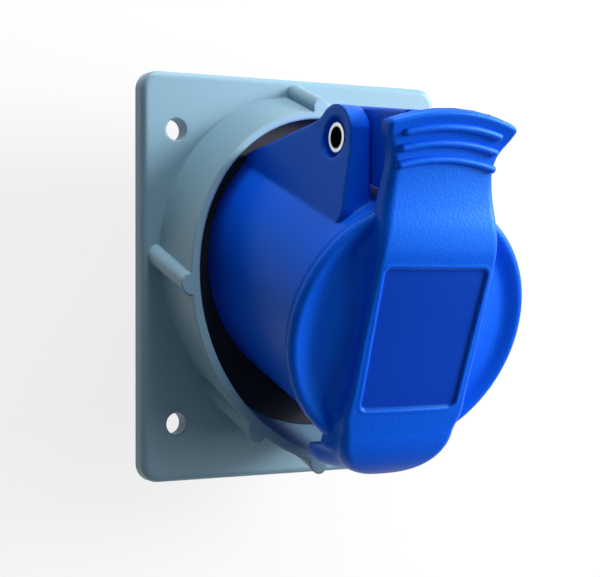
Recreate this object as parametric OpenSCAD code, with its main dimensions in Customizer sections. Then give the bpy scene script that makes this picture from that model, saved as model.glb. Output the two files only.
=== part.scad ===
// Angled panel-mounting industrial socket, 16 A 2P+E, with a spring hinged lid.
// Millimetres. The mounting face of the flange is the plane y = 0, the panel side is +Y,
// the user's side is -Y, and +Z is up. The socket points outwards and downwards.

/* [Flange] */
// Width of the flange plate
flange_w = 71; // [66:0.5:90]
// Height of the flange plate
flange_h = 83.6; // [80:0.1:100]
// Thickness of the flange plate
flange_t = 3.6; // [3.2:0.1:6]
// Radius of the plate's corners
flange_corner_r = 3.8; // [2:0.1:6]
// Rounding of the plate's front edge
flange_edge_r = 1.3; // [0.4:0.1:1.6]
// Horizontal spacing of the fixing holes
fixing_w = 56; // [54:0.5:60]
// Vertical spacing of the fixing holes
fixing_h = 60; // [56:0.5:64]
// Diameter of the fixing holes
fixing_d = 4.5; // [3.4:0.1:5.5]

/* [Collar] */
// Height of the collar's axis above the plate's middle, on its front face
collar_z = 4.25; // [3:0.05:6]
// Inner radius of the collar
collar_ri = 30.4; // [29.6:0.1:32]
// Wall of the collar at its root
collar_wall = 1.3; // [1:0.1:2.4]
// Flare of the collar's wall at the lip
collar_flare = 0.6; // [0.2:0.1:1]
// Height of the lip over the plate, level with the plate's middle
lip_h = 15.8; // [13:0.1:20]
// Slope of the lip's plane, in degrees
lip_slope = 8; // [4:0.5:10]
// Radius of the round bosses on the collar
boss_r = 2; // [1.6:0.1:2.6]

/* [Housing] */
// Downward tilt of the socket's axis, in degrees
tilt = 20; // [15:0.5:22]
// Height of the housing's axis above the plate's middle, on its front face
housing_z = 6.2; // [5.5:0.05:7.5]
// Outer radius of the housing
housing_r = 24.5; // [24:0.1:25.2]
// Wall of the housing
housing_wall = 2.2; // [1.6:0.1:2.6]
// Length of the housing in front of the plate, along its axis
housing_front = 44; // [42:0.5:48]
// Length of the housing behind the plate, along its axis
housing_rear = 22; // [21:0.5:26]
// Thickness of the housing's fixing flange
housing_flange_t = 5; // [4.4:0.1:6]
// Width of the keyway rib under the housing
keyway_w = 11; // [9:0.5:13]

/* [Hinge] */
// Half the width over the two ears
ear_half_w = 14; // [13:0.1:15]
// Thickness of one ear
ear_t = 4.2; // [3.4:0.1:4.8]
// Outer radius of the hinge boss
hinge_boss_r = 6.2; // [5.6:0.1:7]
// Height of the hinge pin over the housing's axis
pin_v = 32; // [31.5:0.1:33]
// Distance of the hinge pin along the housing's axis
pin_w = 30.2; // [29:0.1:31]
// Outer radius of the hollow hinge pin
pin_r = 2.8; // [2.2:0.05:3]
// Wall of the hollow hinge pin
pin_wall = 0.85; // [0.6:0.05:1.2]
// Running clearance of the lid on its pin
pin_play = 0.05; // [0.03:0.01:0.08]
// Wire diameter of the lid's torsion spring
spring_wire = 1; // [0.7:0.05:1.2]

/* [Lid] */
// Radius of the lid's disc
lid_r = 25.7; // [25.4:0.1:27]
// Wall of the lid
lid_wall = 2.2; // [1.8:0.1:2.6]
// Gap between the housing's front edge and the lid
lid_gap = 0.7; // [0.5:0.1:1.2]
// Half the width of the raised band
band_half_w = 13; // [12.4:0.1:14]
// Height of the band's face over the lid's back
band_rise = 6.9; // [6:0.1:8]
// Width of the plain label field
label_w = 22.8; // [18:0.2:24]
// Height of the plain label field
label_h = 28.6; // [20:0.2:32]
// Depth of the label field
label_depth = 0.5; // [0.3:0.05:0.8]
// Reach of the lever's top over the housing's axis
lever_v = 42.6; // [41:0.1:45]
// Thickness of the thumb lever
lever_t = 3.4; // [2.6:0.1:4]
// Number of grip ribs on the lever
rib_count = 3; // [2:1:3]
// Distance from one grip rib to the next
rib_pitch = 3.1; // [2.8:0.1:3.6]

/* [Contacts] */
// Radius of the circle that the contacts stand on
contact_circle_r = 8.75; // [8.5:0.05:9.5]
// Bore of the line and neutral sleeves
live_pin_d = 5; // [4.6:0.1:5.4]
// Bore of the earth sleeve
earth_pin_d = 7; // [6.4:0.1:7.2]
// Wall of a contact sleeve
sleeve_wall = 0.8; // [0.6:0.05:1]
// Radius of the insulating core that carries the sleeves
core_r = 17.6; // [17:0.1:18]
// Length of the terminal on a contact
terminal_l = 20; // [18:0.5:21]

/* [Hidden] */
$fn = 96;
eps = 0.01;
seal_t = 2.5;
play = 0.3; // clearance between pieces that only rest together
seat = 0.05; // clearance of a piece held tight in its seat
far = 200;
panel_t = 3; // thickest panel that the housing's tilted rear passes through

collar_ro = collar_ri + collar_wall;
lip_ro = collar_ro + collar_flare;
boss_angles = [0, 90, 180, 232, 258, 282, 308];
housing_ri = housing_r - housing_wall;
rear_r = housing_r - 1.5; // the housing's rear part, behind its flange
rear_ri = rear_r - 2;
flange_r = collar_ri - 0.4; // the housing's fixing flange inside the collar
screw_circle_r = (housing_r + collar_ri) / 2;
housing_screw_r = 1.5;
housing_screw_head_r = 2.6;
housing_screw_head_h = 1.8;
housing_screw_l = flange_t - housing_screw_head_h + 3.6;
housing_screw_angles = [0, 180, 232, 308];
head_hole_r = housing_screw_head_r + 0.3;
// the gasket's groove lies in the room between the screw heads and the plate's edge
edge_room = flange_w / 2 - screw_circle_r - head_hole_r;
groove_w = 2.2;
groove_share = 0.644; // share of the spare room that lies outside the groove
groove_inset = groove_share * (edge_room - groove_w);
groove_depth = 1.4;

ear_in = ear_half_w - ear_t;
knuckle_half_w = ear_in - play - 0.1;
pin_y = pin_w * cos(tilt) + pin_v * sin(tilt); // the pin's place from the plate's front face
pin_z = housing_z + pin_v * cos(tilt) - pin_w * sin(tilt);
ear_front_y = pin_y + hinge_boss_r - 0.3; // the ears' upright front face
ear_foot_z = pin_z - 15.9; // lower end of that face
ear_slope = 10.5; // slope of the ears' upper edge, in degrees
ear_slope_h = 4.8; // how far that edge's line passes over the pin
ear_hollow_r = 6; // hollow between that edge and the round boss
ear_draft = 9.3; // the ears' outer faces flare towards the housing, in degrees
ear_root_z = pin_z - 11.3; // lower edge of the ears at their back, inside the housing
ear_foot_r = 2;
ear_back_y = housing_flange_t + seal_t + 0.5;
pin_recess_r = pin_r + 1.1;
pin_recess = 1.5;
pin_half_l = ear_half_w - 0.4;

spring_coil_r = pin_r + 0.35 + spring_wire / 2;
spring_half_w = 2.4;
spring_leg = 9;
pocket_half_w = spring_half_w + spring_wire + 0.6;

lid_back = housing_front + lid_gap;
band_front = lid_back + band_rise;
lever_half_w = band_half_w + 0.8;
rib_half_l = band_half_w - 2;
arch_r = 38; // curve of the lever's top and of its ribs
lever_w = band_front - 3.6; // the lever's face at its ribs
gasket_t = 1.6;
gasket_ri = housing_ri - 0.9;
hollow_r = gasket_ri - 1.8;
band_lean = 1.47; // the band's face leans out at its top
band_top_v = 18; // upper end of the band's parallel sides
neck_v = 35; // middle of the hollow under the lever
neck_drop = 4.1; // depth of that hollow under the band's face
neck_curve = 0.0216; // how fast the face rises on both sides of the hollow
tongue_v = -30.7;
tongue_top_v = -20;
tongue_half_w = band_half_w - 0.3;
tongue_fullness = 0.9; // below 1 is squarer than an ellipse
tongue_drop = 6.6;
skirt_l = 3.4; // how far the tongue's skirt reaches back over the housing
rim_r = 2; // rounding of the disc's rim
keyway_rise = 1.8;
keyway_wall = 1.6;
keyway_l = 26;
gasket_ro = housing_r + 0.2;

core_back = 8;
insert_screw_circle_r = 13.6;
insert_screw_head_w = -12; // seat of the insert screws' heads along the axis
insert_screw_l = core_back - insert_screw_head_w;
terminal_wall = 1.2; // how much thicker a terminal is than its sleeve
screwdriver_r = 2.3;
wire_depth = 8;
clamp_screw_r = 1.5;
clamp_screw_l = 7.2;
clamp_plate_t = 0.8;
insert_screw_r = 1.2;
insert_screw_head_r = 2.2;
insert_screw_head_h = 1.8;
insert_screw_play = 0.2; // clearance of these screws in the block
hole_play = 0.35; // how much wider the holes of the cap are than the pins of the plug
key_groove_w = 4;
key_groove_d = 1.2;
key_groove_l = 14;
clamp_plate_w = 2.6;
clamp_plate_l = 4.8;
core_front = housing_front - 7;
ledge_t = 4;
base_r = housing_ri - seat;
terminal_block_r = rear_ri - play;
contact_angles = [150, 30, 270];
sleeve_front = core_front - 2.5;
terminal_start = core_back - ledge_t;
terminal_back = terminal_start - terminal_l;
clamp_w = terminal_back + 3; // place of the clamping screws along the axis

// ---- frames -------------------------------------------------------------------------------

// Local frame of an axis that crosses the plate's front face at height z:
// x stays, y is up across the axis, z runs out along the axis.
module on_axis(z) {
    translate([0, -flange_t, z]) rotate([90 + tilt, 0, 0]) children();
}

// Everything closer to the plate than the plane of the lip
module under_lip() {
    translate([0, -flange_t - lip_h, 0]) rotate([-lip_slope, 0, 0])
        translate([-far / 2, 0, -far / 2]) cube([far, far, far]);
}

// Everything in front of the plane y = y0
module in_front_of(y0) {
    translate([-far / 2, y0 - far, -far / 2]) cube([far, far, far]);
}

// A profile in the plane of y (outwards from the plate's front face) and z, drawn across x
module across(x0, x1) {
    translate([x0, -flange_t, 0]) rotate([90, 0, 90]) linear_extrude(x1 - x0)
        mirror([1, 0]) children();
}

function arc(c, r, a0, a1, n = 8) = [for (i = [0:n]) let (a = a0 + (a1 - a0) * i / n)
    [c[0] + r * cos(a), c[1] + r * sin(a)]];

// ---- flange -------------------------------------------------------------------------------

// One quarter section of the plate's edge, of radius r at the corner
function edge_profile(r) = concat([[0, 0], [r, 0]],
    arc([r - flange_edge_r, flange_t - flange_edge_r], flange_edge_r, 0, 90), [[0, flange_t]]);

module plate_bar(length, half) {
    rotate([90, 0, 0]) translate([0, 0, -length / 2]) linear_extrude(length) {
        polygon(edge_profile(half));
        mirror([1, 0]) polygon(edge_profile(half));
    }
}

module plate_body() {
    cx = flange_w / 2 - flange_corner_r;
    cy = flange_h / 2 - flange_corner_r;
    rotate([90, 0, 0]) {
        plate_bar(2 * cy, flange_w / 2);
        rotate([0, 0, 90]) plate_bar(2 * cx, flange_h / 2);
        for (sx = [-1, 1], sy = [-1, 1]) translate([sx * cx, sy * cy, 0])
            rotate_extrude() polygon(edge_profile(flange_corner_r));
    }
}

module fixing_places() {
    for (sx = [-1, 1], sz = [-1, 1])
        translate([sx * fixing_w / 2, 0, sz * fixing_h / 2]) rotate([90, 0, 0]) children();
}

module housing_screw_places() {
    for (a = housing_screw_angles)
        translate([screw_circle_r * cos(a), 0, collar_z + screw_circle_r * sin(a)])
            rotate([90, 0, 0]) children();
}

// Ring of the plate's outline, for the groove and the gasket in it
module gasket_ring(inset, width, depth) {
    w = flange_w - 2 * inset;
    h = flange_h - 2 * inset;
    rotate([90, 0, 0]) linear_extrude(depth) difference() {
        square([w, h], center = true);
        square([w - 2 * width, h - 2 * width], center = true);
    }
}

module mounting_flange() {
    color([0.62, 0.74, 0.78]) difference() {
        union() {
            plate_body();
            intersection() {
                under_lip();
                in_front_of(-1);
                on_axis(collar_z) union() {
                    translate([0, 0, -20]) cylinder(r = collar_ro, h = 20);
                    cylinder(r1 = collar_ro, r2 = lip_ro, h = 22);
                    translate([0, 0, 22]) cylinder(r = lip_ro, h = 20);
                    for (a = boss_angles) rotate([0, 0, a])
                        translate([lip_ro, 0, -20]) cylinder(r = boss_r, h = 62);
                }
            }
        }
        intersection() {
            in_front_of(-flange_t);
            on_axis(collar_z) translate([0, 0, -30]) cylinder(r = collar_ri, h = 80);
        }
        // bore for the housing's rear, drawn out upwards so that it clears the panel too
        for (rise = [0, panel_t * tan(tilt)]) translate([0, 0, rise])
            on_axis(housing_z) translate([0, 0, -20]) cylinder(r = rear_r + 0.5, h = 60);
        fixing_places() translate([0, 0, -1]) cylinder(d = fixing_d, h = flange_t + 2);
        housing_screw_places() {
            translate([0, 0, -1]) cylinder(r = housing_screw_r + 0.2, h = flange_t + 2);
            translate([0, 0, -1]) cylinder(r = head_hole_r, h = housing_screw_head_h + 1);
        }
        translate([0, eps, 0]) gasket_ring(groove_inset, groove_w, groove_depth + eps);
    }
}

module panel_gasket() {
    color([0.10, 0.10, 0.11]) gasket_ring(groove_inset + seat, groove_w - 2 * seat, groove_depth);
}

// ---- housing ------------------------------------------------------------------------------

// A point by the pin, x along the ears' upper edge and y square to it
function by_pin(x, y) = [pin_y + x * cos(ear_slope) - y * sin(ear_slope),
                         pin_z + x * sin(ear_slope) + y * cos(ear_slope)];

// Side outline of an ear: a slope that runs through a hollow into the round hinge boss, an
// upright front, and a lower edge hidden in the housing
module ear_outline() {
    centre_y = ear_slope_h + ear_hollow_r;
    centre_x = -sqrt(pow(hinge_boss_r + ear_hollow_r, 2) - centre_y * centre_y);
    join = atan2(centre_y, centre_x) + ear_slope;
    slope_l = (pin_y - ear_back_y - ear_slope_h * sin(ear_slope)) / cos(ear_slope);
    polygon(concat(
        [by_pin(-slope_l, ear_slope_h)],
        arc(by_pin(centre_x, centre_y), ear_hollow_r, ear_slope - 90, join - 180, 4),
        arc([pin_y, pin_z], hinge_boss_r, join, 15, 12),
        arc([ear_front_y - ear_foot_r, ear_foot_z + ear_foot_r], ear_foot_r, 0, -60, 5),
        [[ear_front_y - 8, ear_foot_z - 3], [ear_back_y, ear_root_z]]));
}

module ears() {
    for (s = [0, 1]) mirror([s, 0, 0]) difference() {
        across(ear_in, ear_half_w + ear_t) ear_outline();
        // outer face: square to the pin above it, flared below it
        on_axis(housing_z) translate([ear_half_w, pin_v, -far / 2]) {
            cube([far, far, far]);
            rotate([0, 0, ear_draft]) translate([0, -far, 0]) cube([far, far, far]);
        }
    }
}

module hinge_axis() {
    on_axis(housing_z) translate([0, pin_v, pin_w]) rotate([0, 90, 0]) children();
}

// Block under the axis, from the keyway's back end to past the housing's front by over
module keyway_block(r, w, over) {
    translate([-w / 2, -r, housing_front - keyway_l]) cube([w, r - 10, keyway_l + over]);
}

module socket_housing() {
    color([0.05, 0.28, 0.78]) difference() {
        union() {
            on_axis(housing_z) {
                translate([0, 0, -housing_rear]) cylinder(r = rear_r, h = housing_rear + 6);
                difference() {
                    translate([0, 0, -12]) cylinder(r = housing_r, h = housing_front + 12);
                    translate([0, 0, housing_front - 1]) rotate_extrude()
                        polygon([[housing_r - 0.6, 1.1], [housing_r + 1, 1.1],
                                 [housing_r + 1, 0], [housing_r, 0]]);
                }
                intersection() {
                    keyway_block(housing_r + keyway_rise, keyway_w, 0);
                    cylinder(r = housing_r + keyway_rise, h = housing_front);
                }
            }
            intersection() {
                translate([-far / 2, -flange_t - housing_flange_t, -far / 2])
                    cube([far, housing_flange_t, far]);
                on_axis(collar_z) translate([0, 0, -30]) cylinder(r = flange_r, h = 80);
            }
            ears();
        }
        // what lies behind the plate's front face is only the slim rear part
        difference() {
            translate([-far / 2, -flange_t, -far / 2]) cube([far, far, far]);
            on_axis(housing_z) translate([0, 0, -housing_rear - 1])
                cylinder(r = rear_r, h = far);
        }
        on_axis(housing_z) {
            translate([0, 0, terminal_start]) cylinder(r = housing_ri, h = housing_front);
            translate([0, 0, -housing_rear - 1]) cylinder(r = rear_ri, h = housing_rear + 1);
            translate([0, 0, -1]) cylinder(r = core_r + 1, h = ledge_t + 2);
            keyway_block(housing_r, keyway_w - 2 * keyway_wall, 1);
        }
        hinge_axis() {
            translate([0, 0, -far / 2]) cylinder(r = pin_r + 0.03, h = far);
            for (s = [0, 1]) mirror([0, 0, s]) translate([0, 0, ear_half_w - pin_recess])
                cylinder(r = pin_recess_r, h = far);
        }
        housing_screw_places() translate([0, 0, flange_t - 1])
            cylinder(r = housing_screw_r + seat, h = housing_flange_t);
        screwdriver_holes();
    }
}

module housing_seal() {
    color([0.08, 0.08, 0.09]) intersection() {
        translate([-far / 2, -flange_t - housing_flange_t - seal_t, -far / 2])
            cube([far, seal_t, far]);
        difference() {
            on_axis(collar_z) translate([0, 0, -30]) cylinder(r = collar_ri - seat, h = 80);
            on_axis(housing_z) translate([0, 0, -30]) cylinder(r = housing_r + seat, h = 80);
        }
    }
}

// ---- contacts -----------------------------------------------------------------------------

module at_contact(i) {
    on_axis(housing_z) rotate([0, 0, contact_angles[i]])
        translate([contact_circle_r, 0, 0]) rotate([0, 0, -contact_angles[i]]) children();
}

function bore_r(i) = (i == 2 ? earth_pin_d : live_pin_d) / 2;
function sleeve_r(i) = bore_r(i) + sleeve_wall;
function ring_r(i) = sleeve_r(i) + 0.8;
function terminal_r(i) = sleeve_r(i) + terminal_wall;
function wire_r(i) = bore_r(i) - 0.4;

// Core of the insert, with a chamber for each contact
module contact_insert() {
    color([0.16, 0.17, 0.19]) difference() {
        on_axis(housing_z) translate([0, 0, core_back])
            cylinder(r = core_r, h = sleeve_front - core_back);
        contact_chambers();
        key_groove();
    }
}

// Rim behind the core, which seats on the housing's ledge and takes the insert's screws
module insert_rim() {
    color([0.16, 0.17, 0.19]) difference() {
        on_axis(housing_z) translate([0, 0, terminal_start]) cylinder(r = base_r, h = ledge_t);
        contact_chambers();
        insert_screw_places() translate([0, 0, terminal_start - 1])
            cylinder(r = insert_screw_r + seat, h = ledge_t + 2);
    }
}

module contact_chambers() {
    for (i = [0:2]) at_contact(i) translate([0, 0, terminal_start - 1])
        cylinder(r = ring_r(i) + seat, h = sleeve_front - terminal_start + 2);
}

// Cap that closes the chambers, with a hole for each pin of the plug
module insert_cap() {
    color([0.16, 0.17, 0.19]) difference() {
        on_axis(housing_z) translate([0, 0, sleeve_front])
            cylinder(r = core_r, h = core_front - sleeve_front);
        for (i = [0:2]) at_contact(i) translate([0, 0, sleeve_front - 1])
            cylinder(r = bore_r(i) + hole_play, h = core_front - sleeve_front + 2);
        key_groove();
    }
}

// Keying groove along the core, in line with the keyway
module key_groove() {
    on_axis(housing_z) translate([-key_groove_w / 2, -core_r - 1, core_front - key_groove_l])
        cube([key_groove_w, key_groove_d + 1, key_groove_l + 1]);
}

module insert_screw_places() {
    on_axis(housing_z) for (a = [90, 210, 330]) rotate([0, 0, a])
        translate([insert_screw_circle_r, 0, 0]) children();
}

module terminal_block() {
    color([0.82, 0.83, 0.80]) difference() {
        on_axis(housing_z) union() {
            translate([0, 0, -housing_rear + 2])
                cylinder(r = terminal_block_r, h = housing_rear - 2 - seat);
            translate([0, 0, -2]) cylinder(r = core_r, h = terminal_start + 2);
        }
        for (i = [0:2]) at_contact(i) {
            translate([0, 0, -housing_rear]) cylinder(
                r = terminal_r(i) + seat, h = housing_rear + terminal_start + 1);
        }
        screwdriver_holes();
        insert_screw_places() {
            translate([0, 0, -housing_rear])
                cylinder(r = insert_screw_r + insert_screw_play, h = housing_rear + 10);
            translate([0, 0, -housing_rear]) cylinder(
                r = insert_screw_head_r + insert_screw_play, h = housing_rear + insert_screw_head_w);
        }
    }
}

// Openings over the clamping screws, through the block and the housing behind the panel
module screwdriver_holes() {
    for (i = [0:2]) at_contact(i) rotate([0, 0, contact_angles[i]])
        translate([0, 0, clamp_w]) rotate([0, 90, 0]) cylinder(r = screwdriver_r, h = far);
}

module contact(i) {
    color([0.80, 0.66, 0.30]) difference() {
        at_contact(i) {
            translate([0, 0, terminal_start - eps])
                cylinder(r = sleeve_r(i), h = sleeve_front - terminal_start);
            translate([0, 0, terminal_back]) cylinder(r = terminal_r(i), h = terminal_l);
        }
        at_contact(i) {
            translate([0, 0, terminal_start + 2]) cylinder(r = bore_r(i), h = housing_front);
            // slots that let the sleeve spring open on the pin
            translate([-0.4, -10, terminal_start + 10]) cube([0.8, 20, housing_front]);
            // wire bore from the back
            translate([0, 0, terminal_back - 1]) cylinder(r = wire_r(i), h = wire_depth + 1);
        }
        // threaded hole of the clamping screw
        at_contact(i) rotate([0, 0, contact_angles[i]]) translate([0, 0, clamp_w])
            rotate([0, 90, 0]) cylinder(r = clamp_screw_r + seat, h = 20);
    }
}

module spring_ring(i) {
    color([0.72, 0.73, 0.75]) at_contact(i) translate([0, 0, sleeve_front - 4])
        difference() {
            cylinder(r = ring_r(i), h = 2.4);
            translate([0, 0, -1]) cylinder(r = sleeve_r(i) + 0.02, h = 5);
            translate([0, -0.5, -1]) cube([20, 1, 5]);
        }
}

module clamp_plate(i) {
    color([0.75, 0.75, 0.76]) at_contact(i) rotate([0, 0, contact_angles[i]])
        translate([1 - clamp_plate_t, -clamp_plate_w / 2, clamp_w - clamp_plate_l / 2])
            cube([clamp_plate_t, clamp_plate_w, clamp_plate_l]);
}

module terminal_screws() {
    color([0.72, 0.72, 0.74]) for (i = [0:2]) at_contact(i) rotate([0, 0, contact_angles[i]])
        translate([1, 0, clamp_w]) rotate([0, 90, 0]) difference() {
            cylinder(r = clamp_screw_r, h = clamp_screw_l);
            translate([-2, -0.35, clamp_screw_l - 0.8]) cube([4, 0.7, 2]);
        }
}

module screw(r, length, head_r, head_h) {
    difference() {
        union() {
            translate([0, 0, -head_h / 2]) cylinder(r = r, h = length + head_h / 2);
            translate([0, 0, -head_h]) cylinder(r = head_r, h = head_h);
        }
        for (a = [0, 90]) rotate([0, 0, a])
            translate([-head_r * 0.6, -head_r * 0.12, -head_h - eps])
                cube([head_r * 1.2, head_r * 0.24, head_h * 0.5]);
    }
}

module insert_screws() {
    color([0.70, 0.70, 0.72]) insert_screw_places() translate([0, 0, insert_screw_head_w])
        screw(insert_screw_r, insert_screw_l, insert_screw_head_r, insert_screw_head_h);
}

module housing_screws() {
    color([0.70, 0.70, 0.72]) housing_screw_places() translate([0, 0, housing_screw_head_h])
        screw(housing_screw_r, housing_screw_l, housing_screw_head_r, housing_screw_head_h - 0.1);
}

// ---- hinge --------------------------------------------------------------------------------

module hinge_pin() {
    color([0.80, 0.80, 0.80]) hinge_axis() translate([0, 0, -pin_half_l]) difference() {
        cylinder(r = pin_r, h = 2 * pin_half_l);
        translate([0, 0, -1]) cylinder(r = pin_r - pin_wall, h = 2 * pin_half_l + 2);
    }
}

// Closed tube of radius r along a list of points, each ring square to its neighbours' chord
module tube(points, r, sides = 8) {
    n = len(points);
    function direction(i) = let (d = points[min(i + 1, n - 1)] - points[max(i - 1, 0)]) d / norm(d);
    rings = [for (i = [0:n - 1]) let (t = direction(i), a = cross(t, [0.31, 0.95, 0.05]),
        x = a / norm(a), y = cross(t, x)) for (k = [0:sides - 1])
            points[i] + r * (x * cos(360 * k / sides) + y * sin(360 * k / sides))];
    polyhedron(rings, concat(
        [[for (k = [0:sides - 1]) k]],
        [for (i = [0:n - 2], k = [0:sides - 1]) let (m = (k + 1) % sides)
            [i * sides + k, (i + 1) * sides + k, (i + 1) * sides + m, i * sides + m]],
        [[for (k = [sides - 1:-1:0]) (n - 1) * sides + k]]));
}

// Torsion spring: coils round the pin, one leg down to the housing and one in the lid's arm
module hinge_spring() {
    steps = 16;
    turn = 360 / steps;
    last = 3 * steps + steps / 4;
    coil = [for (i = [0:last]) [spring_coil_r * cos(i * turn), spring_coil_r * sin(i * turn),
                                spring_half_w * (2 * i / last - 1)]];
    housing_leg = [[spring_coil_r, housing_r + 0.1 + 0.4 - pin_v, -spring_half_w],
                   [spring_coil_r, -2, -spring_half_w]];
    lid_leg = [[-3, spring_coil_r, spring_half_w], [-spring_leg, spring_coil_r, spring_half_w]];
    color([0.62, 0.62, 0.64]) hinge_axis()
        tube(concat(housing_leg, coil, lid_leg), spring_wire / 2);
}

// ---- lid ----------------------------------------------------------------------------------

// Front outline of the band: parallel sides, a waist under the lever and a round tongue
module band_outline() {
    side = concat(
        [[0, lever_v]],
        [for (x = [3:3:lever_half_w - 1]) [x, lever_v - (arch_r - sqrt(arch_r * arch_r - x * x))]],
        [[lever_half_w, lever_v - 2.8], [lever_half_w - 0.6, lever_v - 5],
         [band_half_w - 1.1, lever_v - 8], [band_half_w - 1.6, lever_v - 11.5],
         [band_half_w - 1.3, lever_v - 15], [band_half_w - 0.6, lever_v - 19],
         [band_half_w, band_top_v], [band_half_w, -12], [band_half_w + 0.7, -16]],
        [for (a = [0:10:90]) [tongue_half_w * pow(cos(a), tongue_fullness),
            tongue_top_v - (tongue_top_v - tongue_v) * pow(sin(a), tongue_fullness)]]);
    polygon(concat(side, [for (i = [len(side) - 2:-1:1]) [-side[i][0], side[i][1]]]));
}

// Place along the axis of the band's face at height v, where it curves round the neck
function face_w(v) = band_front - neck_drop + neck_curve * pow(v - neck_v, 2);

// Side outline of the band and lever, y up across the axis and x along the axis
module band_section(front, back) {
    neck_start = face_w(neck_v - 5);
    polygon(concat(
        [[back, tongue_v], [front - tongue_drop, tongue_v]],
        [for (a = [75:-15:0]) [front - 0.7 - tongue_drop * (1 - cos(a)),
                               tongue_top_v + (tongue_v - tongue_top_v) * sin(a)]],
        [[front, 0]],
        [for (i = [0:6]) [front + 0.3 + (neck_start - front - 0.3) * (1 - cos(30 * i)) / 2,
                          band_top_v + (neck_v - 5 - band_top_v) * i / 6]],
        [for (v = [neck_v - 2:2:lever_v - 0.6]) [face_w(v), v]],
        [[face_w(lever_v), lever_v + 0.4], [face_w(lever_v) - lever_t, lever_v + 1.4],
         [face_w(neck_v) - lever_t, neck_v], [lid_back, housing_r + 1.5],
         [back, band_top_v + 2]]));
}

module disc_profile() {
    polygon(concat(
        [[0, lid_back], [lid_r, lid_back]],
        arc([lid_r - rim_r, lid_back + 0.4], rim_r, 0, 100),
        [[lid_r - 5, lid_back + 1.9], [lid_r - 9, lid_back + 2.3],
         [lid_r - 14, lid_back + 3.2], [0, lid_back + 4.2]]));
}

// Solid outer form of the band, from its skirt to its face
module band_solid() {
    intersection() {
        translate([0, 0, lid_back - skirt_l - 1]) linear_extrude(far) band_outline();
        rotate([0, -90, 0]) translate([0, 0, -far / 2]) linear_extrude(far)
            band_section(band_front, lid_back - skirt_l);
    }
}

module grip_ribs() {
    for (i = [0:rib_count - 1]) {
        top = lever_v - 3.1 - i * rib_pitch;
        span = asin(rib_half_l / arch_r);
        translate([0, top - arch_r, lever_w - 0.55]) rotate([0, 0, 90 - span])
            rotate_extrude(angle = 2 * span) translate([arch_r, 0])
                polygon(concat([[-0.75, -1.6]], arc([0, 0.35], 0.75, 180, 0, 8), [[0.75, -1.6]]));
    }
}

// Arm from the lever's back to the knuckle round the pin
module lid_arm() {
    rotate([0, 90, 0]) rotate([0, 0, 90]) translate([0, 0, -knuckle_half_w])
        linear_extrude(2 * knuckle_half_w) polygon(concat(
            [[lever_v - 0.8, lid_back + 0.4], [lever_v - 8, lid_back + 1],
             [housing_r + 0.6, lid_back + 0.4], [housing_r + 0.8, pin_w + 6]],
            arc([pin_v, pin_w], hinge_boss_r, 170, 340, 16)));
}

module lid() {
    color([0.05, 0.30, 0.82]) difference() {
        on_axis(housing_z) difference() {
            union() {
                rotate_extrude() disc_profile();
                band_solid();
                grip_ribs();
                lid_arm();
            }
            // plain sunk field for a label
            translate([0, -0.5, band_front - 0.2 - label_depth]) rotate([band_lean, 0, 0])
                label_field();
            // hollow back of the disc and of the band
            rotate_extrude() polygon([[0, lid_back - 1], [hollow_r, lid_back - 1],
                [hollow_r, lid_back + 0.2], [hollow_r - 6, lid_back + 0.8], [0, lid_back + 2]]);
            intersection() {
                translate([-band_half_w + lid_wall, -far / 2, lid_back - 1])
                    cube([2 * (band_half_w - lid_wall), far, band_rise + 0.3 - lid_wall]);
                cylinder(r = hollow_r, h = far);
            }
            // seat of the lid gasket
            translate([0, 0, lid_back - 1]) difference() {
                cylinder(r = gasket_ro + seat, h = 1 + gasket_t - lid_gap);
                translate([0, 0, -1]) cylinder(r = gasket_ri - seat, h = 9);
            }
            // room for the housing's front edge, and for its keyway inside the tongue's skirt
            translate([0, 0, 20]) cylinder(r = housing_r + 0.5, h = lid_back - 20);
            intersection() {
                translate([0, 0, 20]) cylinder(r = housing_r + keyway_rise + 1, h = lid_back - 20);
                translate([-far / 2, -far, 0]) cube([far, far, far]);
            }
        }
        hinge_axis() {
            translate([0, 0, -far / 2]) cylinder(r = pin_r + pin_play, h = far);
            // pocket of the spring, open below and behind, and the slot of its leg
            translate([0, 0, -pocket_half_w]) {
                cylinder(r = hinge_boss_r - 0.9, h = 2 * pocket_half_w);
                translate([-hinge_boss_r + 1.5, -far / 2, 0])
                    cube([far, far / 2, 2 * pocket_half_w]);
                translate([0, -far / 2, 0]) cube([far, far, 2 * pocket_half_w]);
            }
            translate([-spring_leg - 0.3, spring_coil_r - 0.8, spring_half_w - 0.8])
                cube([spring_leg, 1.6, 1.6]);
        }
    }
}

module label_field() {
    r = 1.4;
    w2 = label_w / 2 - r;
    h2 = label_h / 2 - r;
    narrow = 0.7;
    linear_extrude(10) hull() {
        for (s = [-1, 1]) {
            translate([s * w2, h2]) circle(r = r);
            translate([s * (w2 - narrow), -h2]) circle(r = r);
        }
    }
}

module lid_gasket() {
    color([0.09, 0.09, 0.10]) on_axis(housing_z) translate([0, 0, housing_front + 0.03])
        difference() {
            cylinder(r = gasket_ro, h = gasket_t - seat);
            translate([0, 0, -1]) cylinder(r = gasket_ri, h = gasket_t + 2);
        }
}

mounting_flange();
panel_gasket();
socket_housing();
housing_seal();
contact_insert();
insert_rim();
insert_cap();
terminal_block();
contact(0);  // line_contact
contact(1);  // neutral_contact
contact(2);  // earth_contact
spring_ring(0);  // line_spring_ring
spring_ring(1);  // neutral_spring_ring
spring_ring(2);  // earth_spring_ring
clamp_plate(0);  // line_clamp_plate
clamp_plate(1);  // neutral_clamp_plate
clamp_plate(2);  // earth_clamp_plate
terminal_screws();
insert_screws();
housing_screws();
hinge_pin();
hinge_spring();
lid();
lid_gasket();
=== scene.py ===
"""Looks of an angled industrial panel socket: grey flange and collar, blue housing and lid.

Metres in the shared frame. The mounting face is the plane y = 0, the user's side is -Y and
+Z is up. The lid's forms are computed in millimetres along the socket's tilted axis.
"""
import math

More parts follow.
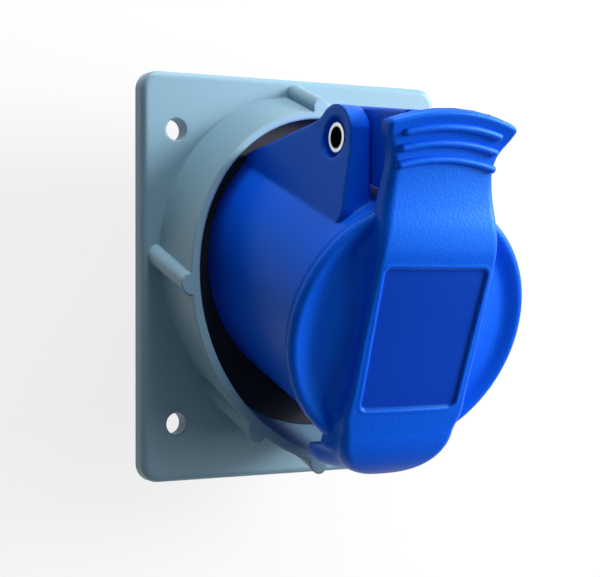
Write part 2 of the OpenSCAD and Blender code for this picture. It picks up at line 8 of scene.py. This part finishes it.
import bmesh
import bpy
import numpy as np
from mathutils import Matrix, Vector


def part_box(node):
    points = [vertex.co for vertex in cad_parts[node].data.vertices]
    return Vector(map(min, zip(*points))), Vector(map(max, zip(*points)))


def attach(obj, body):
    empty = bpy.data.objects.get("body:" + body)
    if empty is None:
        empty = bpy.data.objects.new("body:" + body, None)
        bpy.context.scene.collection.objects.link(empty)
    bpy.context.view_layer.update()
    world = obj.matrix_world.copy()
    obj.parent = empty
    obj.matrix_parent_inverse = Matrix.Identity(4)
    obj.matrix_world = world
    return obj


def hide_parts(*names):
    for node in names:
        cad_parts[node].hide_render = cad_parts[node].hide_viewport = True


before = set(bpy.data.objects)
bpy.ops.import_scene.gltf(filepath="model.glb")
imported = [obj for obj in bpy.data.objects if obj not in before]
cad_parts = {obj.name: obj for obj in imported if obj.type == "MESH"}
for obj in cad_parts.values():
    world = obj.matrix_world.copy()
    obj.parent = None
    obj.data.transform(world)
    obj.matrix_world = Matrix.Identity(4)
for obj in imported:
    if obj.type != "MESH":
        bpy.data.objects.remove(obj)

MM = 0.001

# The socket's axis leaves the plate's front face at the height HOUSING_Z and points down by
# TILT. From here to LABEL, lengths are in millimetres: u across, v up and w out along that axis.
TILT = math.radians(20)
PLATE_T = 3.6
HOUSING_Z = 6.2
HOUSING_R = 24.5
PIN_V, PIN_W = 32.0, 30.2
PIN_BORE_R = 2.1
BOSS_R = 6.2
KNUCKLE_IN, KNUCKLE_OUT = 3.9, 9.4
ARM_ROUNDING = 0.7

LID_BACK = 44.7
LID_R = 25.7
RIM_R = 1.3
LEVER_V = 42.6
LEVER_EDGE = 1.0
ARCH_R = 38.0  # curve of the lever's top and of its ribs
RIB_R, RIB_HALF = 0.78, 11.0
RIB_PLACES = (39.4, 36.3, 33.2)
TONGUE_TOP, TONGUE_END = -20.0, -30.7
TONGUE_HALF, TONGUE_BACK_HALF = 12.7, 14.0
TONGUE_DROP = 5.6  # how far the face falls to the tongue's end
FULLNESS = 0.9  # below 1 is squarer than an ellipse
SKIRT_BACK = LID_BACK - 3.4
SKIRT_CLEAR_R = HOUSING_R + 2.8
FACE_COLUMNS = 47  # points across half of the band's face
LABEL = dict(top=13.8, low=-14.8, half_top=11.56, half_low=10.8, corner=1.5, depth=0.45)

GREY = (0.225, 0.405, 0.52)
BLUE = (0.002, 0.105, 0.86)
BLUE_TINT = (0.07, 0.90, 0.90)
# specular level of the finishes that don't have the usual one
SHEEN = {"housing_plastic": 0.30, "lid_plastic": 0.38, "label_field": 0.30}
# colour, metallic, roughness, grain strength, edge rounding in mm, specular tint
FINISHES = {
    "flange_plastic": (GREY, 0.0, 0.42, 0.15, 0.7, (1, 1, 1)),
    "housing_plastic": (BLUE, 0.0, 0.40, 0.35, 1.2, BLUE_TINT),
    "lid_plastic": (BLUE, 0.0, 0.42, 1.4, 0.5, BLUE_TINT),
    "insert_plastic": ((0.020, 0.022, 0.026), 0.0, 0.45, 0.2, 0.3, (1, 1, 1)),
    "block_plastic": ((0.62, 0.63, 0.58), 0.0, 0.45, 0.2, 0.3, (1, 1, 1)),
    # black rubber with a faint blue painted in as a painted reflection of the blue housing
    "seal_rubber": ((0.005, 0.008, 0.018), 0.0, 0.70, 0.3, 0.2, (1, 1, 1)),
    "contact_brass": ((0.72, 0.50, 0.19), 1.0, 0.28, 0.1, 0.1, (1, 1, 1)),
    "plated_steel": ((0.62, 0.63, 0.65), 1.0, 0.30, 0.1, 0.1, (1, 1, 1)),
    "pin_steel": ((0.80, 0.81, 0.82), 1.0, 0.18, 0.1, 0.1, (1, 1, 1)),
    "spring_steel": ((0.45, 0.45, 0.46), 1.0, 0.32, 0.1, 0.1, (1, 1, 1)),
    "label_field": ((0.0030, 0.049, 0.52), 0.0, 0.34, 0.05, 0.2, BLUE_TINT),
}
SLOT_OF = {
    "mounting_flange": "flange_plastic", "panel_gasket": "seal_rubber",
    "socket_housing": "housing_plastic", "housing_seal": "seal_rubber",
    "contact_insert": "insert_plastic", "insert_rim": "insert_plastic",
    "insert_cap": "insert_plastic", "terminal_block": "block_plastic",
    "lid": "lid_plastic", "lid_gasket": "seal_rubber",
    "hinge_pin": "pin_steel", "hinge_spring": "spring_steel",
}
GRAIN_SCALE = 1900.0
GRAIN_DEPTH = 0.00004
ROUGHNESS_SPREAD = 0.05
# colour painted into the hinge pin's bore as the shade inside it
BORE_PAINTED_SHADE = (0.004, 0.004, 0.005, 1)

# name, place, side, watts
LAMPS = [
    ("key", (0.67, -0.41, 0.24), 0.36, 9.8),
    ("low right", (0.62, -0.70, -0.10), 0.40, 1.9),
    ("top", (0.08, -0.22, 0.86), 0.45, 6.4),
]
AIM = (0, -0.02, 0)
WORLD = 0.2
WALL_Y = 0.026
WALL_HALF = 1.6
WALL_GLOW = 0.79
WALL_COLOUR = 0.17
CAMERA_TARGET = (0.000963, -0.0036, -0.002482)
CAMERA_SIDE = (-0.49325, -0.86986, 0.00524)  # from the target towards the camera
CAMERA_DISTANCE = 0.33585
CAMERA_LENS = 94.65


# ---- materials ---------------------------------------------------------------------------

def slot_of(node):
    """The material slot of a node: contacts are brass, other small metal parts are plated."""
    if node in SLOT_OF:
        return SLOT_OF[node]
    return "contact_brass" if node.endswith("_contact") else "plated_steel"


def finish_material(name):
    """Principled surface with fine moulded grain and softly rounded edges in its normal."""
    colour, metallic, roughness, grain_strength, rounding, tint = FINISHES[name]
    material = bpy.data.materials.new(name)
    material.use_nodes = True
    nodes, links = material.node_tree.nodes, material.node_tree.links
    shader = nodes["Principled BSDF"]
    shader.inputs["Base Color"].default_value = (*colour, 1)
    shader.inputs["Metallic"].default_value = metallic
    shader.inputs["Specular Tint"].default_value = (*tint, 1)
    shader.inputs["Specular IOR Level"].default_value = SHEEN.get(name, 0.5)
    coords = nodes.new("ShaderNodeTexCoord")
    grain = nodes.new("ShaderNodeTexNoise")
    grain.inputs["Scale"].default_value = GRAIN_SCALE
    grain.inputs["Detail"].default_value = 3
    links.new(coords.outputs["Object"], grain.inputs["Vector"])
    wear = nodes.new("ShaderNodeMapRange")
    wear.inputs["To Min"].default_value = roughness - ROUGHNESS_SPREAD
    wear.inputs["To Max"].default_value = roughness + ROUGHNESS_SPREAD
    links.new(grain.outputs["Fac"], wear.inputs["Value"])
    links.new(wear.outputs["Result"], shader.inputs["Roughness"])
    edges = nodes.new("ShaderNodeBevel")
    edges.samples = 6
    edges.inputs["Radius"].default_value = rounding * MM
    bump = nodes.new("ShaderNodeBump")
    bump.inputs["Strength"].default_value = grain_strength
    bump.inputs["Distance"].default_value = GRAIN_DEPTH
    links.new(grain.outputs["Fac"], bump.inputs["Height"])
    links.new(edges.outputs["Normal"], bump.inputs["Normal"])
    links.new(bump.outputs["Normal"], shader.inputs["Normal"])
    return material


def paint_bore_shade(material, axis_y, axis_z, radius):
    """Painted shade: makes everything nearer than the radius to an axis along x dark and dull, as
    the shade inside the hollow pin's bore.
    """
    blend = 0.05 * MM
    nodes, links = material.node_tree.nodes, material.node_tree.links
    shader = nodes["Principled BSDF"]
    coords = nodes.new("ShaderNodeTexCoord")
    flat = nodes.new("ShaderNodeVectorMath")
    flat.operation = "MULTIPLY"
    flat.inputs[1].default_value = (0, 1, 1)
    links.new(coords.outputs["Object"], flat.inputs[0])
    far = nodes.new("ShaderNodeVectorMath")
    far.operation = "DISTANCE"
    far.inputs[1].default_value = (0, axis_y, axis_z)
    links.new(flat.outputs["Vector"], far.inputs[0])
    wall = nodes.new("ShaderNodeMapRange")
    wall.inputs["From Min"].default_value = radius - blend
    wall.inputs["From Max"].default_value = radius + blend
    links.new(far.outputs["Value"], wall.inputs["Value"])
    tint = nodes.new("ShaderNodeMix")
    tint.data_type = "RGBA"
    tint.inputs[6].default_value = BORE_PAINTED_SHADE
    tint.inputs[7].default_value = tuple(shader.inputs["Base Color"].default_value)
    links.new(wall.outputs["Result"], tint.inputs["Factor"])
    links.new(tint.outputs[2], shader.inputs["Base Color"])
    links.new(wall.outputs["Result"], shader.inputs["Metallic"])


def paint_nodes(materials):
    """Gives every CAD node the finish of its slot."""
    for node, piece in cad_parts.items():
        piece.data.materials.clear()
        piece.data.materials.append(materials[slot_of(node)])


# ---- surfaces ----------------------------------------------------------------------------

def out(u, v, w):
    """Points in metres from millimetres across (u), up (v) and out along (w) the tilted axis."""
    u, v, w = np.broadcast_arrays(u, v, w)
    y = -PLATE_T - v * math.sin(TILT) - w * math.cos(TILT)
    z = HOUSING_Z + v * math.cos(TILT) - w * math.sin(TILT)
    return np.stack([u, y, z], axis=-1) * MM


def eased(x, knots):
    """Smooth curve through knots (x, value): a cubic between neighbours, with the slope at
    each knot taken from the knots beside it."""
    kx, ky = np.array(sorted(knots), float).T
    slope = np.gradient(ky, kx)
    i = np.clip(np.searchsorted(kx, x) - 1, 0, len(kx) - 2)
    h = kx[i + 1] - kx[i]
    t = np.clip((x - kx[i]) / h, 0, 1)
    return ((2 * t**3 - 3 * t**2 + 1) * ky[i] + (t**3 - 2 * t**2 + t) * h * slope[i]
            + (3 * t**2 - 2 * t**3) * ky[i + 1] + (t**3 - t**2) * h * slope[i + 1])


def step(x):
    """0 below 0, 1 above 1, and a smooth cubic between."""
    t = np.clip(x, 0, 1)
    return t * t * (3 - 2 * t)


def piece_of(name, grids, body, slot, materials, replaced=(), sharp=40, second=None):
    """One object from grids of points. Each grid is rows of closed loops: (points, whether the
    last row joins the first, whether the end rows are closed by a face). second, if given, is
    (material, mask over the first grid's faces) for faces in another finish."""
    points, faces, start = [], [], 0
    for grid, joined, capped in grids:
        rows, columns = grid.shape[:2]
        index = start + np.arange(rows * columns).reshape(rows, columns)
        ring = np.hstack([index, index[:, :1]])
        if joined:
            ring = np.vstack([ring, ring[:1]])
        quads = np.stack([ring[:-1, :-1], ring[1:, :-1], ring[1:, 1:], ring[:-1, 1:]], -1)
        faces += quads.reshape(-1, 4).tolist()
        if capped:
            faces += [index[0].tolist(), index[-1].tolist()]
        points.append(grid.reshape(-1, 3))
        start += rows * columns
    mesh = bpy.data.meshes.new(name)
    mesh.from_pydata(np.concatenate(points).tolist(), [], faces)
    mesh.materials.append(materials[slot])
    if second:
        mesh.materials.append(second[0])
        marks = np.zeros(len(faces), int)
        marks[:second[1].size] = second[1].reshape(-1)
        mesh.polygons.foreach_set("material_index", marks)
    work = bmesh.new()
    work.from_mesh(mesh)
    bmesh.ops.remove_doubles(work, verts=work.verts, dist=2e-6)
    bmesh.ops.dissolve_degenerate(work, dist=1e-7, edges=work.edges)
    bmesh.ops.recalc_face_normals(work, faces=work.faces)
    work.to_mesh(mesh)
    work.free()
    mesh.polygons.foreach_set("use_smooth", [True] * len(mesh.polygons))
    mesh.set_sharp_from_angle(angle=math.radians(sharp))
    piece = bpy.data.objects.new(name, mesh)
    bpy.context.scene.collection.objects.link(piece)
    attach(piece, body)
    if replaced:
        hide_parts(*replaced)
    return piece


# ---- lid ---------------------------------------------------------------------------------

def lid_disc():
    """A closed profile of radius and height turned round the axis: a hollow back with the
    gasket's seat, a round rim, and a dish that rises again towards the middle."""
    back = [(0, 2.0), (13.6, 0.8), (19.6, 0.2), (19.65, 0), (21.35, 0), (21.35, 0.9),
            (24.75, 0.9), (24.75, 0), (LID_R - 0.3, 0)]
    turn = np.radians(np.linspace(-35, 112, 14))
    rim = np.stack([LID_R - RIM_R + RIM_R * np.cos(turn), 1.15 + RIM_R * np.sin(turn)], 1)
    r = np.linspace(LID_R - 2.2, 0, 40)
    dish = eased(r, [(0, 4.3), (6, 4.2), (11, 3.85), (15, 3.1), (18.5, 2.05), (21.4, 1.55),
                     (23.5, 2.25)])
    profile = np.concatenate([back, rim, np.stack([r, dish], 1)])
    angle = np.linspace(0, 2 * np.pi, 180, endpoint=False)[:, None]
    radius, height = profile[None, :, 0], profile[None, :, 1]
    return out(radius * np.cos(angle), radius * np.sin(angle), LID_BACK + height)


def face_of(v):
    """Height of the band's face at v: flat and slightly leaning at the label, hollow under
    the lever, and rising to the lever's edge."""
    return eased(v, [(-22, 50.75), (-19, 50.95), (-14, 51.3), (0, 51.6), (12, 51.8),
                     (17.5, 51.75), (21, 50.95), (25, 49.3), (29, 48.1), (33, 47.55),
                     (37, 47.6), (40.5, 48.2), (LEVER_V, 48.8)])


def label_distance(u, v):
    """Signed distance from the edge of the label's rounded field, negative inside."""
    middle = (LABEL["top"] + LABEL["low"]) / 2
    high = (LABEL["top"] - LABEL["low"]) / 2
    share = np.clip((v - LABEL["low"]) / (2 * high), 0, 1)
    wide = LABEL["half_low"] + (LABEL["half_top"] - LABEL["half_low"]) * share
    qu = np.abs(u) - wide + LABEL["corner"]
    qv = np.abs(v - middle) - high + LABEL["corner"]
    outside = np.hypot(np.maximum(qu, 0), np.maximum(qv, 0))
    return outside + np.minimum(np.maximum(qu, qv), 0) - LABEL["corner"]


def band_rows():
    """Place, half width and face height of every row across the band, from the lever's top
    down to the tongue's end, and how far the lever's round top edge draws the row in.

    The sides follow a waist under the lever. Round the tongue, the half width is
    TONGUE_HALF cos^FULLNESS of an angle, while v falls with its sin^FULLNESS.
    """
    turn = np.radians(np.linspace(90, 0, 6))[:-1]
    v_top = LEVER_V - LEVER_EDGE + LEVER_EDGE * np.sin(turn)
    inset = LEVER_EDGE * (1 - np.cos(turn))
    v_mid = np.linspace(LEVER_V - LEVER_EDGE, TONGUE_TOP, 210)
    angle = np.radians(np.linspace(0, 89.6, 44))[1:]
    drop = np.sin(angle) ** FULLNESS
    v_low = TONGUE_TOP + (TONGUE_END - TONGUE_TOP) * drop
    v = np.concatenate([v_top, v_mid, v_low])
    inset = np.concatenate([inset, np.zeros(len(v_mid) + len(v_low))])
    half = eased(v, [(-20, 12.7), (-16.5, 13.35), (-12, 13.05), (0, 13), (12, 13), (18, 12.95),
                     (23.5, 12.35), (28, 11.6), (32, 11.3), (35.5, 12.0), (38.5, 13.1),
                     (41, 13.9), (LEVER_V, 14.2)])
    half[-len(v_low):] = TONGUE_HALF * np.cos(angle) ** FULLNESS
    face = face_of(v)
    lean = np.arcsin(np.clip(drop, 0, 1))
    face[-len(v_low):] = face_of(TONGUE_TOP) - TONGUE_DROP * (1 - np.cos(lean))
    return v, half, face, inset


def band_back(v, half):
    """Underside of the band, foot of the tongue's skirt and half width inside that skirt. The
    skirt reaches back only where the band is wider than the circle that clears the housing."""
    under = eased(v, [(-31, 45), (-23, 45), (-20, 45.5), (-16, 45.8), (-8, 46.1), (0, 46.3),
                      (8, 46.1), (16, 45.8), (20, 45.7), (24, 45.5), (27, 44.9), (31, 44.3),
                      (35, 44.15), (38.5, 44.6), (LEVER_V, 45.5)])
    reach = np.sqrt(np.maximum(SKIRT_CLEAR_R**2 - v**2, 0))
    leg = step((half - reach + 1.6) / 3) * (v < TONGUE_TOP)
    foot = under + (SKIRT_BACK - under) * leg
    inner = np.where(v < TONGUE_TOP, np.minimum(reach, half * 0.98), half * 0.6)
    under = np.where(v < TONGUE_TOP, foot + (under - foot) * step(inner / 1.5), under)
    return under, foot, inner


def band_sides(v, half, face, foot):
    """Radius of the shoulder between face and side, how far the side flares into the disc, and
    how far the tongue's squarish back stands out past its face."""
    shoulder = np.minimum(eased(v, [(-31, 2.4), (-21, 1.8), (-14, 1.1), (14, 1.1), (26, 1.8),
                                    (34, 1.2), (LEVER_V, 0.9)]), 0.85 * half)
    shoulder = np.minimum(shoulder, 0.45 * (face - foot))
    flare = 2.2 * step((v + 21) / 6) * step((20 - v) / 5)
    spread = np.clip((TONGUE_TOP - v) / (TONGUE_TOP - TONGUE_END), 0, 1)
    wide = TONGUE_BACK_HALF * (1 - spread ** 7) ** (1 / 2.6)
    dome = np.maximum(wide - half, 0) * step((TONGUE_TOP + 7 - v) / 10)
    return shoulder, flare, dome


def lid_band():
    """Loops across the band, drawn from the lever's top down to the tongue's end, and the mask
    of the faces in the label's field.

    Each loop is half a loop and its mirror image: the face, a quarter circle as its shoulder,
    a side that flares with the cube of the way down, the foot of the skirt, its inner side
    and the underside. The label's field is sunk behind a fine ridge, which is a bell curve of
    the distance from the field's edge, and the lever's rows bend along an arc.
    """
    v, half, face, inset = band_rows()
    under, foot, inner = band_back(v, half)
    half, face, under, foot = half - inset, face - inset, under + inset, foot + inset
    shoulder, flare, dome = band_sides(v, half, face, foot)
    half, face, under, foot, inner, shoulder, flare, dome, rows = (
        a[:, None] for a in (half, face, under, foot, inner, shoulder, flare, dome, v))

    s = np.linspace(0, 1, FACE_COLUMNS)[None, :]
    u_face = s * (half - shoulder)
    depth = label_distance(u_face, rows)
    ridge = 0.14 * np.exp(-((depth - 0.25) / 0.22) ** 2)
    sunk = LABEL["depth"] * step(-depth / 0.5) - ridge
    crown = 0.35 * (u_face / half) ** 2
    w_face = face - crown - sunk
    turn = np.radians(np.linspace(90, 0, 9))[None, 1:]
    w_side = w_face[:, -1:] - shoulder
    u_arc = half - shoulder + shoulder * np.cos(turn)
    w_arc = w_side + shoulder * np.sin(turn)
    s = np.linspace(0, 1, 10)[None, 1:]
    u_side = half + flare * s**3 + dome * np.sin(s * np.pi / 2)
    w_down = w_side + (foot - w_side) * s
    s = np.array([[0.5, 1.0]])
    u_foot, w_foot = u_side[:, -1:] * (1 - s) + inner * s, foot + 0 * s
    u_in, w_in = inner + 0 * s, foot + (under - foot) * s
    u_under, w_under = inner * (1 - s), under + 0 * s
    u = np.hstack([u_face, u_arc, u_side, u_foot, u_in, u_under])
    w = np.hstack([w_face, w_arc, w_down, w_foot, w_in, w_under])
    u = np.hstack([u, -u[:, -2:0:-1]])
    w = np.hstack([w, w[:, -2:0:-1]])
    arch = (ARCH_R - np.sqrt(ARCH_R**2 - u**2)) * step((rows - 30) / 11)

    on_face = np.zeros(u.shape[1], bool)
    on_face[:FACE_COLUMNS] = on_face[1 - FACE_COLUMNS:] = True
    mask = (on_face & (label_distance(u, rows) < -0.25))[:-1]
    return out(u, rows - arch, w), mask.astype(int)


def grip_rib(v0):
    """A round bar along an arc across the lever, its radius falling to nothing at both ends
    as a half circle does."""
    span = math.asin(RIB_HALF / ARCH_R)
    psi = np.linspace(-span, span, 49)[:, None]
    along = ARCH_R * np.abs(psi)
    past = np.clip((along - ARCH_R * span + RIB_R) / RIB_R, 0, 1)
    bar = RIB_R * np.sqrt(np.maximum(1 - past**2, 1e-4))
    u, v = ARCH_R * np.sin(psi), v0 - ARCH_R * (1 - np.cos(psi))
    turn = np.linspace(0, 2 * np.pi, 14, endpoint=False)[None, :]
    across = bar * np.cos(turn)
    return out(u + across * np.sin(psi), v + across * np.cos(psi),
               face_of(v) - 0.02 + bar * 1.05 * np.sin(turn))


def resampled(loop, count):
    """A closed outline redrawn with evenly spaced points."""
    closed = np.vstack([loop, loop[:1]])
    length = np.concatenate([[0], np.cumsum(np.hypot(*np.diff(closed, axis=0).T))])
    at = np.linspace(0, length[-1], count, endpoint=False)
    return np.stack([np.interp(at, length, closed[:, 0]), np.interp(at, length, closed[:, 1])], 1)


def slab(outline, u0, u1, rounding):
    """An outline in the plane of v and w drawn across u, drawn in at both ends by a quarter
    circle."""
    loop = resampled(np.array(outline, float), 120)
    way = np.roll(loop, -1, 0) - np.roll(loop, 1, 0)
    way /= np.hypot(*way.T)[:, None]
    inward = np.stack([-way[:, 1], way[:, 0]], 1)
    area = np.sum(loop[:, 0] * np.roll(loop[:, 1], -1) - np.roll(loop[:, 0], -1) * loop[:, 1])
    inward *= np.sign(area)
    turn = np.radians(np.linspace(0, 90, 6))
    along = rounding * (1 - np.cos(turn))
    ends = rounding * (1 - np.sin(turn))
    across = np.concatenate([u0 + along, u1 - along[::-1]])
    drawn = np.concatenate([ends, ends[::-1]])
    rows = loop[None] + drawn[:, None, None] * inward[None]
    return out(across[:, None], rows[..., 0], rows[..., 1])


def knuckle_outline(whole):
    """Side outline of the lid's arm: from the lever's back round the hinge pin, or cut short
    in front of it between the knuckles."""
    if not whole:
        return [(41.6, 45.3), (34.6, 45.9), (25.3, 45.2), (25.4, 37.4), (39.8, 37.4)]
    turn = np.radians(np.linspace(172, 338, 30))
    boss = np.stack([PIN_V + BOSS_R * np.cos(turn), PIN_W + BOSS_R * np.sin(turn)], 1).tolist()
    return [(41.6, 45.3), (34.6, 45.9), (25.3, 45.2), (25.3, 36.2)] + boss


def make_lid(materials):
    """The lid's pieces, which stand for its CAD node."""
    band, mask = lid_band()
    piece_of("lid_band", [(band, False, True)], "lid", "lid_plastic", materials, ("lid",),
             sharp=50, second=(materials["label_field"], mask))
    piece_of("lid_disc", [(lid_disc(), True, False)], "lid", "lid_plastic", materials, ("lid",))
    piece_of("lid_grips", [(grip_rib(v), False, True) for v in RIB_PLACES],
             "lid", "lid_plastic", materials, ("lid",), sharp=80)
    sides = [(slab(knuckle_outline(True), a, b, ARM_ROUNDING), False, True)
             for a, b in ((-KNUCKLE_OUT, -KNUCKLE_IN), (KNUCKLE_IN, KNUCKLE_OUT))]
    middle = (slab(knuckle_outline(False), -KNUCKLE_IN - 0.8, KNUCKLE_IN + 0.8, 0.1), False, True)
    piece_of("lid_arm", sides + [middle], "lid", "lid_plastic", materials, ("lid",))


# ---- stage -------------------------------------------------------------------------------

def wall_paper():
    """Faint diffuse paper that takes the shadow, with a glow that only camera, glossy and
    transmission rays see, and clear when seen from behind."""
    material = bpy.data.materials.new("backdrop_paper")
    material.use_nodes = True
    nodes, links = material.node_tree.nodes, material.node_tree.links
    nodes.clear()
    rays = nodes.new("ShaderNodeLightPath")
    seen = nodes.new("ShaderNodeMath")
    seen.operation = "MAXIMUM"
    links.new(rays.outputs["Is Camera Ray"], seen.inputs[0])
    mirrored = nodes.new("ShaderNodeMath")
    mirrored.operation = "MAXIMUM"
    links.new(rays.outputs["Is Glossy Ray"], mirrored.inputs[0])
    links.new(rays.outputs["Is Transmission Ray"], mirrored.inputs[1])
    links.new(mirrored.outputs[0], seen.inputs[1])
    power = nodes.new("ShaderNodeMath")
    power.operation = "MULTIPLY"
    power.inputs[1].default_value = WALL_GLOW
    links.new(seen.outputs[0], power.inputs[0])
    glow = nodes.new("ShaderNodeEmission")
    links.new(power.outputs[0], glow.inputs["Strength"])
    paper = nodes.new("ShaderNodeBsdfDiffuse")
    paper.inputs["Color"].default_value = (WALL_COLOUR,) * 3 + (1,)
    both = nodes.new("ShaderNodeAddShader")
    links.new(glow.outputs[0], both.inputs[0])
    links.new(paper.outputs[0], both.inputs[1])
    clear = nodes.new("ShaderNodeBsdfTransparent")
    side = nodes.new("ShaderNodeNewGeometry")
    mix = nodes.new("ShaderNodeMixShader")
    links.new(side.outputs["Backfacing"], mix.inputs["Fac"])
    links.new(both.outputs[0], mix.inputs[1])
    links.new(clear.outputs[0], mix.inputs[2])
    surface = nodes.new("ShaderNodeOutputMaterial")
    links.new(mix.outputs[0], surface.inputs["Surface"])
    return material


def backdrop():
    """A white wall behind the part, a flat grid that faces the front."""
    rows = 5
    t = np.linspace(-WALL_HALF, WALL_HALF, rows)
    x, z = np.meshgrid(t, t, indexing="ij")
    points = np.stack([x, np.full_like(x, WALL_Y), z], -1).reshape(-1, 3)
    index = np.arange(rows**2).reshape(rows, rows)
    faces = np.stack([index[:-1, :-1], index[1:, :-1], index[1:, 1:], index[:-1, 1:]], -1)
    mesh = bpy.data.meshes.new("backdrop")
    mesh.from_pydata(points.tolist(), [], faces.reshape(-1, 4).tolist())
    mesh.materials.append(wall_paper())
    piece = bpy.data.objects.new("backdrop", mesh)
    bpy.context.scene.collection.objects.link(piece)


def soft_light(name, place, size, power):
    """A square area light that faces the part."""
    data = bpy.data.lights.new(name, "AREA")
    data.size = size
    data.energy = power
    lamp = bpy.data.objects.new(name, data)
    lamp.location = place
    lamp.rotation_euler = (Vector(AIM) - Vector(place)).to_track_quat("-Z", "Y").to_euler()
    bpy.context.scene.collection.objects.link(lamp)


def world_light():
    """An even surround, which the camera sees as white."""
    world = bpy.data.worlds.new("studio")
    bpy.context.scene.world = world
    world.use_nodes = True
    nodes, links = world.node_tree.nodes, world.node_tree.links
    rays = nodes.new("ShaderNodeLightPath")
    power = nodes.new("ShaderNodeMapRange")
    power.inputs["To Min"].default_value = WORLD
    power.inputs["To Max"].default_value = 1.0
    links.new(rays.outputs["Is Camera Ray"], power.inputs["Value"])
    links.new(power.outputs["Result"], nodes["Background"].inputs["Strength"])
    nodes["Background"].inputs["Color"].default_value = (1, 1, 1, 1)


def set_camera():
    """The view of the socket from the user's left, level with it."""
    target = Vector(CAMERA_TARGET)
    back = Vector(CAMERA_SIDE).normalized()
    right = Vector((0, 0, 1)).cross(back).normalized()
    up = back.cross(right)
    data = bpy.data.cameras.new("camera")
    data.sensor_width = 36
    data.sensor_fit = "HORIZONTAL"
    data.lens = CAMERA_LENS
    camera = bpy.data.objects.new("camera", data)
    turn = Matrix((right, up, back)).transposed().to_4x4()
    camera.matrix_world = Matrix.Translation(target + back * CAMERA_DISTANCE) @ turn
    bpy.context.scene.collection.objects.link(camera)
    bpy.context.scene.camera = camera


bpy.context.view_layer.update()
finishes = {name: finish_material(name) for name in FINISHES}
low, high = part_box("hinge_pin")
pin_y, pin_z = (low[1] + high[1]) / 2, (low[2] + high[2]) / 2
# the pin's bore gets painted shade
paint_bore_shade(finishes["pin_steel"], pin_y, pin_z, PIN_BORE_R * MM)
paint_nodes(finishes)
make_lid(finishes)
backdrop()
for lamp in LAMPS:
    soft_light(*lamp)
world_light()
set_camera()
bpy.context.scene.view_settings.view_transform = "Standard"
